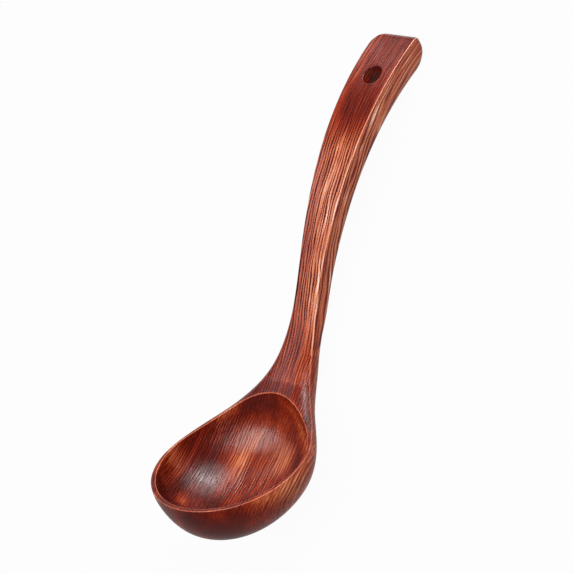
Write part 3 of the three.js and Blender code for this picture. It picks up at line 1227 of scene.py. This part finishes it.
fading = handle_bending[:, None]
handle_sheets = [
    sheet(top_patch, closed=True, dark=painted_face_shade(top_patch[..., 1] / grip_half_width, hole_at)),
    sheet(top_lip, closed=True, eased=0, wear_and_highlight=mouth_wear_and_highlight, dark=mouth_painted_shade),
    sheet(hole_wall, closed=True, dark=-wall_paler, polish=wall_polish),
    sheet(under_lip, closed=True, eased=0, wear_and_highlight=lower_mouth_wear_and_highlight, polish=underside_polish),
    sheet(under_patch, closed=True, polish=underside_polish, flank=1.0),
    cap(ring(handle_skin, 0)),
    cap(ring(handle_skin, -1)),
    sheet(
        handle_skin["top"],
        window=windows["top"],
        polish=face_polish(fading),
        dark=painted_face_shade(face_shares, handle_rows[:, None]),
    ),
    sheet(handle_skin["left"], eased=1, thin=wear_and_highlight_thinness, wear_and_highlight=left_arris_wear_and_highlight),
    sheet(
        handle_skin["under"],
        window=windows["under"],
        polish=underside_polish - (underside_polish - outside_polish) * fading,
        flank=1.0,
        dark=shaded(handle_rows),
    ),
    sheet(handle_skin["right"], eased=1, thin=wear_and_highlight_thinness),
]
carved_piece("handle_skin", handle_sheets, "handle")

# %% [markdown]
# ## Camera
# The photograph was taken from far away with a long lens, from the side of the handle and well
# above the table, and turned so that the handle points up the picture. A constraint could aim the
# camera, but it knows no roll, so the three directions of the picture are worked out.

# %% Camera
camera_azimuth = np.radians(-100.736)
camera_elevation = np.radians(47.075)
camera_roll = np.radians(-65.449)
camera_distance = 2.5328
camera_target = np.array([-1.75, 12.926, 20]) * mm
camera_lens = 338.4
sight_limit = 20


def direction(azimuth, elevation):
    """Unit vector at this angle round the table and this angle above it."""
    flat = np.cos(elevation)
    return np.array([flat * np.cos(azimuth), flat * np.sin(azimuth), np.sin(elevation)])


towards_camera = direction(camera_azimuth, camera_elevation)
level_right = np.array([-np.sin(camera_azimuth), np.cos(camera_azimuth), 0])
level_up = np.cross(towards_camera, level_right)
picture_right = np.cos(camera_roll) * level_right + np.sin(camera_roll) * level_up
picture_up = np.cross(towards_camera, picture_right)

camera_data = bpy.data.cameras.new("camera")
camera_data.lens = camera_lens
camera_data.clip_end = sight_limit
camera = in_scene("camera", camera_data)
camera_place = Matrix(np.column_stack([picture_right, picture_up, towards_camera])).to_4x4()
camera_place.translation = Vector(camera_target + camera_distance * towards_camera)
camera.matrix_world = camera_place
scene.camera = camera
print("camera at", [round(v, 3) for v in camera_place.translation])

# %% [markdown]
# ## Floor
# The ground is plain white. A floor could be lit until it is white, but it would wash out the wood
# from below. So it mixes a grey paint, which takes light and shadow, with plain white wherever the
# camera or a reflection looks at it.

# %% Floor
floor_half = 3.0
floor_white = 0.96
floor_grey = (0.4, 0.4, 0.4, 1)

scene.view_settings.view_transform = "Standard"
corners = floor_half * np.array([(-1, -1, 0), (1, -1, 0), (1, 1, 0), (-1, 1, 0)])
floor_mesh = bpy.data.meshes.new("floor")
floor_mesh.from_pydata(corners, [], [(0, 1, 2, 3)])
floor = in_scene("floor", floor_mesh)
floor_paint, shade = new_material("floor_paint")
seen = shade.node("ShaderNodeLightPath", output="Is Camera Ray")
for ray in ("Is Glossy Ray", "Is Transmission Ray"):
    seen = shade.maths("MAXIMUM", seen, shade.node("ShaderNodeLightPath", output=ray))
paint = shade.node("ShaderNodeBsdfDiffuse", inputs={"Color": floor_grey})
white = shade.node("ShaderNodeEmission", inputs={"Color": (1, 1, 1, 1), "Strength": 1.0})
surface = shade.node("ShaderNodeMixShader", inputs={0: seen * floor_white, 1: paint, 2: white})
shade.node("ShaderNodeOutputMaterial", inputs={"Surface": surface})
floor_mesh.materials.append(floor_paint)
print("floor", 2 * floor_half, "m square")

# %% [markdown]
# ## Light
# A large softbox over the bowl's end and one low at the camera's right, with a lamp in its middle,
# put the soft highlights into the hollow. A fill from behind and a card by the handle's end lift
# the dark sides, and a small near card lights the neck. One bright sky could light it, but a gloss
# shows the shape of its lamps, so each highlight has its own.

# %% Room and lamps
room_light = 0.1
lamp_away = 1.2
near_card_away = 0.355
# Degrees round and above the table, the lamp's size and brightness, and a distance of its own.
lamps = {
    "overhead_softbox": (-161, 67, 1.15, 4.2),
    "side_softbox": (-20, 30, 1.25, 3.1),
    "side_lamp": (-20, 29, 0.35, 15),
    "back_fill": (94, 47, 0.55, 1.2),
    "end_card": (46, 20, 0.32, 1.8),
    "neck_card": (70, 46, 0.14, 1.9, near_card_away),
}

room = bpy.data.worlds.new("room")
scene.world = room
room.use_nodes = True
background = room.node_tree.nodes["Background"].inputs
background["Color"].default_value = (1, 1, 1, 1)
background["Strength"].default_value = room_light


def softbox(name, azimuth, elevation, size, brightness, distance=lamp_away):
    """Round area lamp that faces the ladle. Its power is brightness x area x pi."""
    lamp = bpy.data.lights.new(name, "AREA")
    lamp.shape = "DISK"
    lamp.size = size
    lamp.energy = brightness * np.pi * (size / 2) ** 2 * np.pi
    box = in_scene(name, lamp)
    away = Vector(direction(*np.radians([azimuth, elevation])))
    box.location = distance * away
    box.rotation_euler = away.to_track_quat("Z", "Y").to_euler()


for name, lamp in lamps.items():
    softbox(name, *lamp)
print(len(lamps), "lamps")
